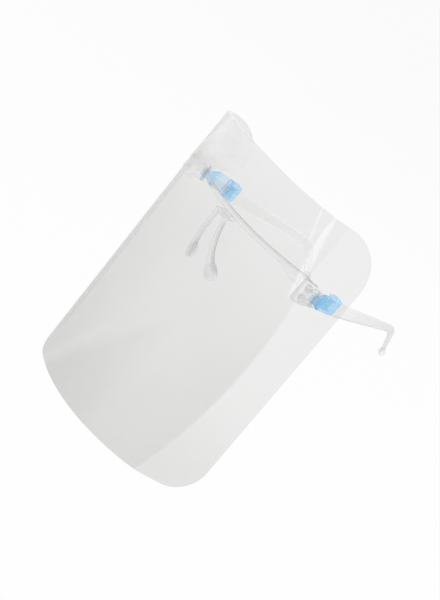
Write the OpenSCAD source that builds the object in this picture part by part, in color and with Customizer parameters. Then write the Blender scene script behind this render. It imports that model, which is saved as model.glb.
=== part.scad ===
// Face shield worn on a spectacle-type frame, in millimetres.
// +Z is up as worn, -Y is the front and +X is the wearer's left.
// The origin lies on the middle plane, just over the bridge of the nose and near hinge level.

/* [Visor] */
// Height of the clear sheet
visor_h = 230; // [200:1:260]
// Height of the sheet's top edge above the origin
visor_top = 57.5; // [46:0.5:70]
// Distance from the origin forward to the middle of the sheet
visor_front = 19.2; // [18:0.1:22]
// Thickness of the sheet
sheet_t = 0.5; // [0.3:0.1:0.8]
// Radius of the sheet across the front
front_r = 99; // [95:0.5:104]
// Half of the angle that the front arc spans, in degrees
front_half_angle = 36.2; // [34:0.1:38]
// Radius of the sheet where it turns into the side flaps
bend_r = 40; // [36:1:45]
// Angle of each flat flap from the width direction, in degrees
flap_angle = 59.2; // [57:0.1:61]
// Length of each flat flap
flap_l = 37.2; // [37:0.2:46]
// Radius of the upper corners
top_corner_r = 36; // [10:1:36]
// Radius of the lower corners
bottom_corner_r = 23.5; // [10:0.5:36]

/* [Snap buttons] */
// Distance of the buttons behind the bend line, along the flap
button_u = 5; // [4.8:0.1:5.6]
// Height between the two buttons on one side
button_pitch = 8.4; // [7:0.1:9]
// Radius of a button's shank
shank_r = 1.5; // [1:0.1:1.8]
// Radius of a button's head
button_head_r = 2.8; // [2.4:0.1:3.2]
// Thickness of a button's head
button_head_t = 1.2; // [0.8:0.1:2]
// Length of a button's barbed end
barb_l = 1.4; // [1:0.1:2]
// Height of the barb over the shank
barb_rise = 0.5; // [0.2:0.1:0.8]
// Clearance round a shank in the sheet's hole
sheet_hole_gap = 0.2; // [0.1:0.05:0.4]
// Clearance round a shank in the frame's plate
shank_gap = 0.03; // [0.01:0.01:0.1]

/* [Brow frame] */
// Radius of the brow bar's centre line in plan
bar_r = 90; // [86:1:95]
// Distance from the origin forward to the bar's centre line
bar_front = 7.4; // [6:0.1:9]
// Half of the angle that the bar spans, in degrees
bar_half_angle = 45; // [43:0.5:46]
// Height of the bar's section
bar_h = 4.2; // [3.5:0.1:6]
// Depth of the bar's section
bar_t = 3; // [2:0.1:3.1]
// Height of the frame's top over the origin
frame_top = 11.3; // [9.5:0.1:12]
// Angle that the deeper end of the bar spans, in degrees
haunch_angle = 9; // [5:0.5:12]
// Height of the deeper end of the bar
haunch_h = 9; // [7:0.1:11]
// Depth of the deeper end of the bar, from front to back
haunch_t = 3.6; // [3.3:0.1:5]
// Start of the plate behind the bend line, along the flap
plate_u = 0.6; // [0.5:0.1:1]
// Length of the plate along the flap
plate_l = 9.4; // [9:0.1:12]
// Thickness of the plate
plate_t = 3.2; // [2.4:0.1:4]
// Depth of the plate below the origin
plate_bottom = 6; // [5:0.1:9]

/* [Nose rest] */
// Width of the saddle under the brow bar
saddle_w = 13; // [10:0.5:18]
// Depth of the saddle from front to back
saddle_d = 11.4; // [9:0.1:11.5]
// Height of the saddle
saddle_h = 2.6; // [2:0.1:4]
// Half of the distance between the tops of the nose arms
arm_top_x = 4.6; // [4:0.1:5]
// Half of the distance between the feet of the nose arms
foot_x = 12.2; // [10:0.1:15]
// Distance of the feet behind the origin
foot_y = 1; // [-2:0.1:6]
// Depth of the feet below the origin
foot_drop = 34; // [30:0.5:40]
// Slackness of the arms' bow: depth of its control point below the origin
bow_drop = 19; // [14:0.5:24]
// Thickness of the nose arms
nose_arm_t = 2.2; // [1.6:0.1:3]
// Width of a nose arm at the saddle
nose_arm_top_w = 4.4; // [3:0.1:6]
// Width of a nose arm at its foot
nose_arm_foot_w = 6.6; // [4:0.1:8]
// Length of each foot
foot_l = 14; // [11:0.5:18]
// Width of each foot
foot_w = 9.5; // [8:0.5:12]
// Thickness of the soft pads
pad_t = 1.8; // [1:0.1:3]
// Rim of the foot that shows round a pad
pad_rim = 0.7; // [0.3:0.1:1.5]

/* [Hinges] */
// Half of the distance between the two hinge pins
hinge_x = 67.9; // [66.5:0.1:69]
// Distance of the hinge pins behind the origin
hinge_y = 37; // [35:0.5:39]
// Depth of the hinges' middle below the origin
hinge_drop = 1.7; // [0:0.1:2.5]
// Radius of a hinge pin
pin_r = 1.2; // [0.8:0.1:1.6]
// Running clearance round a pin in the sleeve
pin_gap = 0.05; // [0.01:0.01:0.1]
// Clearance round a pin in the ears
ear_gap = 0.02; // [0.01:0.01:0.1]
// Radius of a pin's head
pin_head_r = 1.9; // [1.7:0.1:2.4]
// Thickness of a pin's head
pin_head_t = 0.8; // [0.5:0.1:1.5]
// Radius of a sleeve's barrel
barrel_r = 3; // [2.4:0.1:3.6]
// Height of a sleeve's barrel
barrel_h = 6.4; // [5:0.1:7]
// Radius of the ears' round ends
ear_r = 3.6; // [3:0.1:4]
// Thickness of each ear
ear_t = 2.4; // [1.6:0.1:3]
// Gap between a barrel and what holds it
hinge_gap = 0.3; // [0.2:0.05:0.5]

/* [Temple sleeves] */
// Downward tilt of a sleeve and its temple, in degrees
temple_tilt = 5; // [3:0.5:6]
// Thickness of a tongue
tongue_t = 2.6; // [2:0.1:3.2]
// Height of a tongue where it leaves the hinge
tongue_h = 8.2; // [7:0.1:10]
// Distance from the pin back to the collar
tongue_l = 21; // [19:0.5:24]
// Distance from the pin back to the raised outer face
cover_start = 8; // [7:0.5:12]
// Length of a collar
collar_l = 9; // [8:0.5:12]
// Height of a collar
collar_h = 12.9; // [12.4:0.1:15]
// Wall of a collar on the inner side
collar_wall = 1.7; // [1.2:0.1:2.4]
// Step from a tongue's outer face out to its collar's
collar_step = 0.6; // [0.2:0.1:1]
// Depth of a collar's middle below the origin
collar_drop = 2.1; // [1.8:0.1:3]

/* [Temples] */
// Thickness of a temple
temple_t = 2; // [1.6:0.1:2.4]
// Height of the blade that slides in a collar
blade_h = 7.8; // [7:0.1:8.4]
// Depth of a blade's top edge below the arm's
blade_inset = 0.3; // [0.2:0.1:1]
// Clearance round a blade in its collar
slide_gap = 0.3; // [0.2:0.05:0.4]
// Distance from the pin back to a blade's front end
blade_start = 6; // [5.5:0.1:7.5]
// Gap between a collar and the arm's shoulder with the temple pushed in
shoulder_gap = 0.8; // [0.4:0.1:2]
// Distance from the pin back to the ear bend
ear_bend = 113; // [104:0.5:116]
// Height of an arm at its shoulder
arm_h = 11; // [9:0.1:12]
// Height of an arm at the ear bend
arm_end_h = 5.4; // [4.6:0.1:8]
// Height of an arm's top edge over the origin
arm_top = 0.9; // [0.5:0.1:1.5]
// Run of a hook behind the ear bend
hook_run = 18; // [14:0.5:24]
// Inward lean of a hook
hook_in = 3.2; // [1:0.1:6]
// Drop of a hook below the arm
hook_drop = 22.7; // [18:0.1:27]
// Height of a hook at its tip
hook_end_h = 4.4; // [3.5:0.1:5.5]
// Radius of an ear tip
tip_r = 3.5; // [2.8:0.1:3.8]
// Radius of the stub that an ear tip is pushed on
stub_r = 0.9; // [0.7:0.1:0.95]
// Clearance round the stub in an ear tip
stub_gap = 0.03; // [0.01:0.01:0.1]

/* [Length clicks] */
// Number of positions that a temple clicks into
click_count = 4; // [2:1:4]
// Travel between two positions
click_pitch = 3; // [2.5:0.1:3]
// Radius of the nib under a click spring
nib_r = 0.9; // [0.7:0.05:1]
// Depth that the nib dips below a blade's top edge
nib_dip = 0.35; // [0.2:0.05:0.5]
// Clearance round the nib in a notch
nib_gap = 0.15; // [0.1:0.05:0.3]
// Length of a click spring
spring_l = 6; // [4:0.5:7]
// Thickness of a click spring
spring_t = 0.5; // [0.3:0.1:0.7]
// Clearance round a click spring in its window
spring_gap = 0.1; // [0.05:0.05:0.2]

/* [Pose] */
// Length that the left temple is pulled out
slide_left = 9; // [0:3:9]
// Length that the right temple is pulled out
slide_right = 0; // [0:3:9]
// Inward fold of the left temple, in degrees
fold_left = 0; // [0:1:88]
// Inward fold of the right temple, in degrees
fold_right = 20; // [0:1:58]

/* [Hidden] */
$fn = 64;
left = 1;
right = -1;
upper = 1;
lower = -1;

clear_sheet = [0.85, 0.88, 0.9, 0.35];
clear_plastic = [0.8, 0.84, 0.86, 0.6];
sky_blue = [0.2, 0.6, 0.9, 0.85];
steel = [0.7, 0.7, 0.72];

// Overlap of two solids that are joined
joint_lap = 1;
// Step between neighbouring faces of one moulding
mould_step = 0.2;
// Extra thickness of the sheet at the bends, and the angle that it runs past each bend
bend_swell = 0.04;
bend_lap = 0.5;
// Excess of a cutting body past the face that it opens
cut = 1;

// Plan position of the bend line, where the sheet turns flat
bend_x = front_r * sin(front_half_angle) + bend_r * (sin(flap_angle) - sin(front_half_angle));
bend_y = front_r * (1 - cos(front_half_angle)) - visor_front
    + bend_r * (cos(front_half_angle) - cos(flap_angle));
visor_bottom = visor_top - visor_h;

// Point in plan at u along the left flap from the bend line and v inward from the sheet's middle
function flap_pt(u, v) = [bend_x + u * cos(flap_angle) - v * sin(flap_angle),
    bend_y + u * sin(flap_angle) + v * cos(flap_angle)];
// Point in plan on the brow bar, at an angle from its middle and a distance from its centre line
bar_centre_y = bar_r - bar_front;
function bar_pt(angle, out) = [(bar_r + out) * sin(angle), bar_centre_y - (bar_r + out) * cos(angle)];

// Angle from the bar's middle to where its deeper ends start, and the overlap there
bar_inner_angle = bar_half_angle - haunch_angle;
bar_lap_angle = 1;

plate_inner = sheet_t / 2 + plate_t;
plate_z = (frame_top - plate_bottom) / 2;
bar_bottom = frame_top - bar_h;
hinge_pt = [hinge_x, hinge_y];
hinge_z = -hinge_drop;
ear_low = barrel_h / 2 + hinge_gap;
ear_high = ear_low + ear_t;

// Direction in plan from the hinge pin towards the middle of the plate, and square to it
plate_mid = flap_pt(plate_u + plate_l / 2, plate_inner);
to_plate = (plate_mid - hinge_pt) / norm(plate_mid - hinge_pt);
across = [-to_plate[1], to_plate[0]];
web_end = hinge_pt + to_plate * (barrel_r + hinge_gap);
block_low = hinge_z - ear_high + mould_step;

// Heights along a temple, over the hinge's middle
collar_z = hinge_drop - collar_drop;
arm_z = hinge_drop + arm_top;
collar_top = collar_z + collar_h / 2;
blade_inner = tongue_t / 2 + slide_gap;
blade_top = arm_z - blade_inset;
slot_top = blade_top + slide_gap;
slot_w = temple_t + 2 * slide_gap;
nib_along = tongue_l + collar_l / 2;
nib_z = blade_top - nib_dip + nib_r;
shoulder = tongue_l + collar_l + shoulder_gap;
blade_mid = blade_inner + temple_t / 2;

// Curve through three points, as a quadratic Bezier
function bezier(a, b, c, t) = a * (1 - t) * (1 - t) + b * 2 * t * (1 - t) + c * t * t;
function bezier_way(a, b, c, t) = (b - a) * 2 * (1 - t) + (c - b) * 2 * t;
function unit(v) = v / norm(v);

// Ring of eight points: a flat bar's section with its corners taken off
function bar_ring(p, way, side, h, t, nick) =
    let (w = unit(way), n = unit(side - w * (side * w)), m = cross(w, n))
    [for (c = [[1, -1, 0], [1, 1, 0], [1, 1, 1], [-1, 1, 1], [-1, 1, 0], [-1, -1, 0], [-1, -1, 1], [1, -1, 1]])
        let (a = c[2] == 1 ? t / 2 - nick : t / 2, b = c[2] == 1 ? h / 2 : h / 2 - nick)
        p + n * (c[0] * a) + m * (c[1] * b)];

// Solid through a list of rings with the same number of points
module loft(rings) {
    k = len(rings[0]);
    last = len(rings) - 1;
    sides = [for (i = [0:last - 1], j = [0:k - 1], half = [0, 1])
        let (a = i * k + j, b = i * k + (j + 1) % k)
        half == 0 ? [a, b + k, b] : [a, a + k, b + k]];
    caps = [[for (j = [0:k - 1]) j], [for (j = [0:k - 1]) last * k + k - 1 - j]];
    polyhedron(points = [for (ring = rings, p = ring) p], faces = concat(sides, caps));
}

// Children made for the left side, put on either side
module on_side(side) {
    mirror([side == left ? 0 : 1, 0, 0]) children();
}

// Frame on the left flap: X along it, Y inward from the sheet's middle
module on_flap() {
    translate([bend_x, bend_y, 0]) rotate([0, 0, flap_angle]) children();
}

// Frame of a hinge barrel: Y back, -X inward, turned about the hinge pin
module on_hinge(side) {
    on_side(side) translate([hinge_x, hinge_y, hinge_z])
        rotate([0, 0, side == left ? fold_left : fold_right]) children();
}

// Frame of a sleeve: as the barrel's, tilted down to the back
module on_sleeve(side) {
    on_hinge(side) rotate([-temple_tilt, 0, 0]) children();
}

// Frame of a temple: as its sleeve's, moved back as far as the temple is pulled out
module on_temple(side) {
    on_sleeve(side) translate([0, side == left ? slide_left : slide_right, 0]) children();
}

// Arc of sheet in plan: a sector of a ring about a centre, between two angles from the front
module sheet_arc(centre, r, t, from, to) {
    reach = 2 * r;
    translate(centre) intersection() {
        difference() {
            circle(r + t / 2, $fn = 180);
            circle(r - t / 2, $fn = 180);
        }
        polygon([[0, 0], reach * [sin(from), -cos(from)], reach * [sin(to), -cos(to)]]);
    }
}

// Body that takes off one corner of a flap, with the corner's round left standing
module corner_cut(r, z, way) {
    translate([flap_l - r, -cut, z - way * r]) difference() {
        translate([0, 0, way == upper ? 0 : -r - cut]) cube([r + cut, 2 * cut, r + cut]);
        translate([0, -cut, 0]) rotate([-90, 0, 0]) cylinder(r = r, h = 4 * cut, $fn = 128);
    }
}

module visor() {
    bend_centre = [(front_r - bend_r) * sin(front_half_angle),
        front_r - visor_front - (front_r - bend_r) * cos(front_half_angle)];
    color(clear_sheet) difference() {
        translate([0, 0, visor_bottom]) linear_extrude(visor_h) {
            sheet_arc([0, front_r - visor_front], front_r, sheet_t, -front_half_angle, front_half_angle);
            for (side = [left, right]) on_side(side) {
                sheet_arc(bend_centre, bend_r, sheet_t + bend_swell,
                    front_half_angle - bend_lap, flap_angle + bend_lap);
                translate([bend_x, bend_y]) rotate(flap_angle) translate([0, -sheet_t / 2])
                    square([flap_l, sheet_t]);
            }
        }
        for (side = [left, right]) on_side(side) on_flap() {
            corner_cut(top_corner_r, visor_top, upper);
            corner_cut(bottom_corner_r, visor_bottom, lower);
            for (level = [upper, lower])
                button_axis(level) cylinder(r = shank_r + sheet_hole_gap, h = 2 * cut, center = true);
        }
    }
}

// Axis of one snap button on a flap: Z inward through the sheet
module button_axis(level) {
    translate([button_u, 0, plate_z + level * button_pitch / 2]) rotate([-90, 0, 0]) children();
}

module snap_button(side, level) {
    color(clear_plastic) on_side(side) on_flap() button_axis(level) {
        translate([0, 0, -sheet_t / 2 - button_head_t]) cylinder(r1 = button_head_r - button_head_t / 2,
            r2 = button_head_r, h = button_head_t);
        translate([0, 0, -sheet_t / 2 - button_head_t / 2])
            cylinder(r = shank_r, h = button_head_t / 2 + sheet_t + plate_t + joint_lap);
        translate([0, 0, plate_inner]) cylinder(r1 = shank_r + barb_rise, r2 = shank_r, h = barb_l);
    }
}

// Arc of the brow bar between two angles from its middle and two heights
module brow_arc(from, to, low, high, t) {
    translate([0, bar_centre_y, low]) rotate([0, 0, from - 90]) rotate_extrude(angle = to - from, $fn = 180)
        translate([bar_r - t / 2, 0]) square([t, high - low]);
}

// Ears that hold a hinge barrel above and below
module hinge_ears() {
    side_w = across * (ear_r - mould_step);
    root = web_end + to_plate * joint_lap;
    for (z = [hinge_z + ear_low, hinge_z - ear_high]) translate([0, 0, z]) linear_extrude(ear_t) {
        translate(hinge_pt) circle(ear_r);
        polygon([hinge_pt + side_w, hinge_pt - side_w, root - side_w, root + side_w]);
    }
}

// Plate behind the flap, and the prism that leaves room behind it for the buttons' barbs
module flap_plate() {
    plate_end = plate_u + plate_l;
    translate([0, 0, -plate_bottom]) linear_extrude(frame_top - mould_step + plate_bottom)
        polygon([flap_pt(plate_u, sheet_t / 2), flap_pt(plate_end, sheet_t / 2),
            flap_pt(plate_end, plate_inner), flap_pt(plate_u, plate_inner)]);
}

module barb_room() {
    half = shank_r + barb_rise + hinge_gap;
    from = plate_inner - joint_lap / 2;
    to = plate_inner + barb_l + hinge_gap;
    translate([0, 0, block_low - cut]) linear_extrude(frame_top - block_low + 2 * cut)
        polygon([flap_pt(button_u - half, from), flap_pt(button_u + half, from),
            flap_pt(button_u + half, to), flap_pt(button_u - half, to)]);
}

// Block and web that join the plate, the bar's end and the ears on the left side
module end_block() {
    web_h = 2 * ear_high - 3 * mould_step;
    web_w = across * (ear_r - 2 * mould_step);
    plate_end = plate_u + plate_l;
    root = plate_inner - joint_lap;
    web_root = root + mould_step;
    translate([0, 0, block_low]) linear_extrude(frame_top - 2 * mould_step - block_low)
        polygon([flap_pt(plate_u + mould_step, root), flap_pt(plate_end - mould_step, root),
            bar_pt(bar_half_angle - bar_lap_angle, -bar_t / 2),
            bar_pt(bar_half_angle - bar_lap_angle, bar_t / 2)]);
    translate([0, 0, block_low + mould_step]) linear_extrude(web_h)
        polygon([flap_pt(plate_u + 2 * mould_step, web_root),
            flap_pt(plate_end - 2 * mould_step, web_root), web_end + web_w, web_end - web_w]);
}

module brow_frame() {
    color(clear_plastic) difference() {
        union() {
            brow_arc(-bar_inner_angle - bar_lap_angle, bar_inner_angle + bar_lap_angle,
                bar_bottom, frame_top, bar_t);
            for (side = [left, right]) on_side(side) {
                difference() {
                    union() {
                        brow_arc(bar_inner_angle, bar_half_angle, frame_top - haunch_h,
                            frame_top - mould_step, haunch_t);
                        end_block();
                    }
                    barb_room();
                }
                flap_plate();
                hinge_ears();
            }
        }
        for (side = [left, right]) on_side(side) {
            translate([hinge_x, hinge_y, hinge_z])
                cylinder(r = pin_r + ear_gap, h = 2 * (ear_high + cut), center = true);
            on_flap() for (level = [upper, lower]) button_axis(level)
                cylinder(r = shank_r + shank_gap, h = 2 * (plate_inner + cut), center = true);
        }
    }
}

module hinge_pin(side) {
    color(clear_plastic) on_side(side) translate([hinge_x, hinge_y, hinge_z]) {
        cylinder(r = pin_r, h = 2 * ear_high + pin_head_t, center = true);
        for (z = [ear_high, -ear_high - pin_head_t])
            translate([0, 0, z]) cylinder(r = pin_head_r, h = pin_head_t);
    }
}

// Left nose arm's three guiding points
saddle_bottom = bar_bottom - saddle_h;
saddle_front = bar_t / 2 - bar_front - saddle_d;
arm_start = [arm_top_x, saddle_front + nose_arm_top_w / 2, saddle_bottom + joint_lap];
arm_guide = [(arm_top_x + foot_x) / 2 - nose_arm_t / 2, arm_start[1] + nose_arm_t, -bow_drop];
arm_foot = [foot_x, foot_y, -foot_drop];
arm_steps = 14;
foot_way = arm_foot - arm_guide;
foot_yaw = atan2(foot_way[0], foot_way[1]);
foot_pitch = atan2(-foot_way[2], norm([foot_way[0], foot_way[1]]));

// Flat slot-shaped plate square to the nose's side, between two distances outward
module foot_plate(grow, from, to) {
    w = foot_w + 2 * grow;
    run = foot_l - foot_w;
    translate(arm_foot) rotate([0, 0, -foot_yaw]) rotate([-foot_pitch, 0, 0]) rotate([0, 90, 0])
        translate([0, -run / 2, from]) linear_extrude(to - from) {
            circle(d = w);
            translate([0, run]) circle(d = w);
            translate([-w / 2, 0]) square([w, run]);
        }
}

module nose_arm() {
    loft([for (i = [0:arm_steps]) let (t = i / arm_steps)
        bar_ring(bezier(arm_start, arm_guide, arm_foot, t), bezier_way(arm_start, arm_guide, arm_foot, t),
            [1, 0, 0], nose_arm_top_w + (nose_arm_foot_w - nose_arm_top_w) * t, nose_arm_t, nose_arm_t / 5)]);
}

module nose_bridge() {
    color(clear_plastic) {
        translate([-saddle_w / 2, saddle_front, saddle_bottom])
            cube([saddle_w, saddle_d, saddle_h]);
        for (side = [left, right]) on_side(side) {
            difference() {
                nose_arm();
                foot_plate(pad_rim, -nose_arm_t / 2 - pad_t - cut, mould_step - nose_arm_t / 2);
            }
            foot_plate(0, -nose_arm_t / 2, nose_arm_t / 2);
        }
    }
}

module nose_pad(side) {
    color(clear_plastic) on_side(side) foot_plate(-pad_rim, -nose_arm_t / 2 - pad_t, -nose_arm_t / 2);
}

module temple_sleeve(side) {
    neck = ear_r + 2 * hinge_gap;
    collar_low = collar_top - collar_h;
    collar_inner = tongue_t / 2 + slot_w + collar_wall;
    collar_outer = tongue_t / 2 + collar_step;
    color(sky_blue) difference() {
        union() {
            on_hinge(side) {
                cylinder(r = barrel_r, h = barrel_h, center = true);
                translate([-tongue_t / 2, 0, -barrel_h / 2]) cube([tongue_t, neck + joint_lap, barrel_h]);
            }
            on_sleeve(side) {
                translate([tongue_t / 2, 0, 0]) rotate([0, -90, 0]) linear_extrude(tongue_t)
                    polygon([[-tongue_h / 2, neck + hinge_gap], [collar_low + collar_step, cover_start],
                        [collar_low + collar_step, tongue_l + joint_lap],
                        [collar_top - collar_step, tongue_l + joint_lap],
                        [collar_top - collar_step, cover_start], [tongue_h / 2, neck + hinge_gap]]);
                translate([0, cover_start, collar_low])
                    cube([collar_outer, tongue_l + joint_lap - cover_start, collar_h]);
                translate([-collar_inner, tongue_l, collar_low])
                    cube([collar_inner + collar_outer, collar_l, collar_h]);
            }
        }
        on_hinge(side) cylinder(r = pin_r + pin_gap, h = barrel_h + 2 * cut, center = true);
        on_sleeve(side) {
            translate([-tongue_t / 2 - slot_w, tongue_l - cut, slot_top - blade_h - 2 * slide_gap])
                cube([slot_w, collar_l + 2 * cut, blade_h + 2 * slide_gap]);
            translate([-blade_inner - temple_t, nib_along - spring_l / 2 - spring_gap, slot_top - cut])
                cube([temple_t, spring_l + 2 * spring_gap, collar_top - slot_top + 2 * cut]);
        }
    }
}

module click_spring(side) {
    spring_w = temple_t - 2 * spring_gap;
    spring_low = min(nib_z, collar_top - spring_t);
    color(steel) on_sleeve(side) {
        translate([-blade_mid - spring_w / 2, nib_along - spring_l / 2, spring_low])
            cube([spring_w, spring_l, spring_t]);
        translate([-blade_mid, nib_along, nib_z]) rotate([0, 90, 0]) intersection() {
            cylinder(r = nib_r, h = spring_w, center = true);
            translate([-spring_t / 2, -nib_r, -spring_w]) cube([2 * nib_r, 2 * nib_r, 2 * spring_w]);
        }
    }
}

// Arm and hook of a temple: centre line, way and height at each ring
hook_start = [-blade_mid, ear_bend, arm_z - arm_end_h / 2];
hook_way = unit([-hook_in, hook_run, -hook_drop]);
hook_end = hook_start + [-hook_in, hook_run, -hook_drop] - hook_way * tip_r;
stub_l = tip_r;
bend_reach = hook_run / 2;
bend_in = hook_start - [0, bend_reach, 0];
bend_out = hook_start + hook_way * bend_reach;
bend_steps = 8;

function arm_ring(p, way, h) = bar_ring(p, way, [-1, 0, 0], h, temple_t, temple_t / 5);

module temple(side) {
    arm_share = bend_in[1] - shoulder;
    arm_bend_h = arm_h + (arm_end_h - arm_h) * arm_share / (ear_bend - shoulder);
    arm_rings = [
        arm_ring([-blade_mid, shoulder, arm_z - arm_h / 2], [0, 1, 0], arm_h),
        arm_ring([-blade_mid, bend_in[1], arm_z - arm_bend_h / 2], [0, 1, 0], arm_bend_h)];
    bend_rings = [for (i = [1:bend_steps]) let (t = i / bend_steps)
        arm_ring(bezier([-blade_mid, bend_in[1], arm_z - arm_bend_h / 2], hook_start, bend_out, t),
            bezier_way([-blade_mid, bend_in[1], arm_z - arm_bend_h / 2], hook_start, bend_out, t),
            arm_bend_h + (arm_end_h - arm_bend_h) * t)];
    hook_rings = [arm_ring(hook_end, hook_way, hook_end_h)];
    color(clear_plastic) on_temple(side) {
        loft(concat(arm_rings, bend_rings, hook_rings));
        difference() {
            translate([-blade_inner - temple_t, blade_start, blade_top - blade_h])
                cube([temple_t, shoulder + joint_lap - blade_start, blade_h]);
            for (k = [0:click_count - 1])
                translate([-blade_mid, nib_along - k * click_pitch, nib_z])
                    rotate([0, 90, 0]) cylinder(r = nib_r + nib_gap, h = temple_t + 2 * cut, center = true);
        }
        on_hook() translate([0, 0, -joint_lap]) cylinder(r = stub_r, h = joint_lap + stub_l);
    }
}

// Frame at the end of a hook, with Z along it
module on_hook() {
    translate(hook_end) rotate([0, acos(hook_way[2]), atan2(hook_way[1], hook_way[0])]) children();
}

module ear_tip(side) {
    color(clear_plastic) on_temple(side) on_hook() difference() {
        translate([0, 0, tip_r - joint_lap]) sphere(r = tip_r);
        translate([0, 0, -cut]) cylinder(r = stub_r + stub_gap, h = cut + stub_l + stub_gap);
        translate([0, 0, -2 * cut]) cylinder(r = 2 * tip_r, h = 2 * cut);
    }
}

visor();
brow_frame();
nose_bridge();
nose_pad(left);  // nose_pad_left
nose_pad(right);  // nose_pad_right
snap_button(left, upper);  // snap_button_left_upper
snap_button(left, lower);  // snap_button_left_lower
snap_button(right, upper);  // snap_button_right_upper
snap_button(right, lower);  // snap_button_right_lower
hinge_pin(left);  // hinge_pin_left
hinge_pin(right);  // hinge_pin_right
temple_sleeve(left);  // temple_sleeve_left
temple_sleeve(right);  // temple_sleeve_right
click_spring(left);  // click_spring_left
click_spring(right);  // click_spring_right
temple(left);  // temple_left
temple(right);  // temple_right
ear_tip(left);  // ear_tip_left
ear_tip(right);  // ear_tip_right
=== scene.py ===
"""Face shield on a spectacle-type frame: the looks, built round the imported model.

Lengths are worked out in millimetres in the frame of the solids (+Z up as worn, -Y to the front,
+X to the wearer's left) and turned to metres when a mesh is made. Lamps, floor and camera are in metres.
"""
import math

import bpy
import numpy as np
from mathutils import Matrix


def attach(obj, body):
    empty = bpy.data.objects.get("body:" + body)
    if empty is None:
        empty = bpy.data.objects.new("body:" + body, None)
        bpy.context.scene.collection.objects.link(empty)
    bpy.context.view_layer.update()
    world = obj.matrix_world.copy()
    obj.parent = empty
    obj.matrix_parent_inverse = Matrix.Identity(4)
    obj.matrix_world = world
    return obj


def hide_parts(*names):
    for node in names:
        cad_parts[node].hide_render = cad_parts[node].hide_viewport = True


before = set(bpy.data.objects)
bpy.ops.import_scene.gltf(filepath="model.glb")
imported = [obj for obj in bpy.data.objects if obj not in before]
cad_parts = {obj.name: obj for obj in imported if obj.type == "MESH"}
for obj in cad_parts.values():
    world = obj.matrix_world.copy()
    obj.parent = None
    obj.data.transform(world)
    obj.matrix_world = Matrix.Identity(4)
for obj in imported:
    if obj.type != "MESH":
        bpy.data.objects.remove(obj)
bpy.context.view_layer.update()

MM = 0.001
SIDES = ("left", "right")
WHITE, BLACK = (1, 1, 1, 1), (0, 0, 0, 1)

# Radius at which a turned profile starts and ends, and points round a half circle
CENTRE_R, HALF_ROUND = 0.05, 25

# Sheet: heights and thickness, the front's arc, the bends with the flaps, the corners and the grid
SHEET_TOP, SHEET_BOTTOM, SHEET_T = 57.5, -172.5, 0.5
FRONT_R, FRONT_Y, FRONT_ANGLE = 99.0, 79.8, math.radians(36.2)
BEND_R, FLAP_ANGLE, FLAP_L = 40.0, math.radians(59.2), 37.2
TOP_CORNER_R, BOTTOM_CORNER_R = 36.0, 23.5
CORNER_POINTS, STRAIGHT_POINTS, HEIGHT_POINTS = 34, 140, 110
SHEET_FRONT = FRONT_R * FRONT_ANGLE
SHEET_BEND = SHEET_FRONT + BEND_R * (FLAP_ANGLE - FRONT_ANGLE)
SHEET_HALF = SHEET_BEND + FLAP_L

# Flex of the sheet's right half: its upper corner curls in, its top edge sinks and its lower corner lifts.
# Shares of the height count from the bottom for the sink and from the top for the lift.
CURL, CURL_HEIGHTS, CURL_REACH = math.radians(52), (14, 46), (2, 18)
SINK, SINK_RUN, SINK_POWER, SINK_SHARES = 7.0, 70.0, 1.3, (0.55, 1)
LIFT, LIFT_REACH, LIFT_SHARES = 7.0, (58, 80), (0.75, 1)

# Brow frame: its bar with deeper ends, the plates behind the flaps, the blocks to the bar and the webs
BAR_R, BAR_Y, FRAME_TOP = 90.0, 82.6, 11.3
BAR_T, BAR_H, HAUNCH_T, HAUNCH_H = 3.0, 4.2, 3.6, 9.0
BAR_ANGLE, BAR_RINGS, BAR_POWER, HAUNCH_ANGLES = 45.4, 161, 3.2, (31, 41)
PLATE_U, PLATE_L, PLATE_OUTER, PLATE_INNER = 0.6, 9.4, 0.26, 3.45
PLATE_BOTTOM, PLATE_DROP, PLATE_ROUND = -6.0, 0.2, 0.6
BLOCK_INSET, BLOCK_V, BLOCK_ANGLE, BLOCK_HALF = 0.2, 2.4, 44, 1.5
BLOCK_LIFT, BLOCK_DROP, BLOCK_CORNER, BLOCK_RIM = 0.3, 0.4, 0.8, 1.2
WEB_INSET, WEB_V, WEB_HALF, WEB_GAP, WEB_CORNER, WEB_RIM = 0.4, 2.6, 3.2, 0.3, 0.9, 0.8
FRAME_VOXEL, FRAME_ROUNDS, NOSE_ROUNDS = 0.3, 5, 6

# Buttons through the flaps and the plates
BUTTON_U, BUTTON_Z, BUTTON_PITCH = 5.0, 2.65, 8.4

# Nose rest: the saddle under the bar, the bowed arms, their feet and the pads
SADDLE_LOW, SADDLE_HIGH, SADDLE_FRONT, SADDLE_BACK = 4.5, 7.1, -17.3, -5.9
SADDLE_HALF, SADDLE_CORNER, SADDLE_RIM = 6.5, 1.6, 0.8
ARM_START, ARM_GUIDE, ARM_FOOT = (4.6, -15.1, 5.5), (7.3, -12.9, -19.0), (12.2, 1.0, -34.0)
NOSE_ARM_T, NOSE_ARM_W, NOSE_ARM_RINGS, NOSE_ARM_POWER = 2.2, (4.4, 6.6), 49, 3.0
NOSE_FLARE, NOSE_FLARE_FROM = 1.6, 0.6
FOOT_L, FOOT_W, FOOT_RIM = 14.0, 9.5, 0.8
PAD_T, PAD_INSET, PAD_ROUND, PAD_STEPS = 1.8, 0.7, 1.1, 8

# Hinges, with the rest pose of the temples: the left one open and pulled out, the right one part folded
HINGE = (67.9, 37.0, -1.7)
FOLD = {"left": 0.0, "right": 20.0}
SLIDE = {"left": 9.0, "right": 0.0}
TILT = 5.0
PIN_R, PIN_HEAD_R, PIN_HEAD_T = 1.2, 1.9, 0.8
BARREL_R, BARREL_H, BARREL_EDGE, BORE_R = 3.0, 6.4, 0.3, 1.26
EAR_R, EAR_LOW, EAR_HIGH, EAR_ROOT, EAR_RIM = 3.6, 3.5, 5.9, 1.5, 0.5

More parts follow.
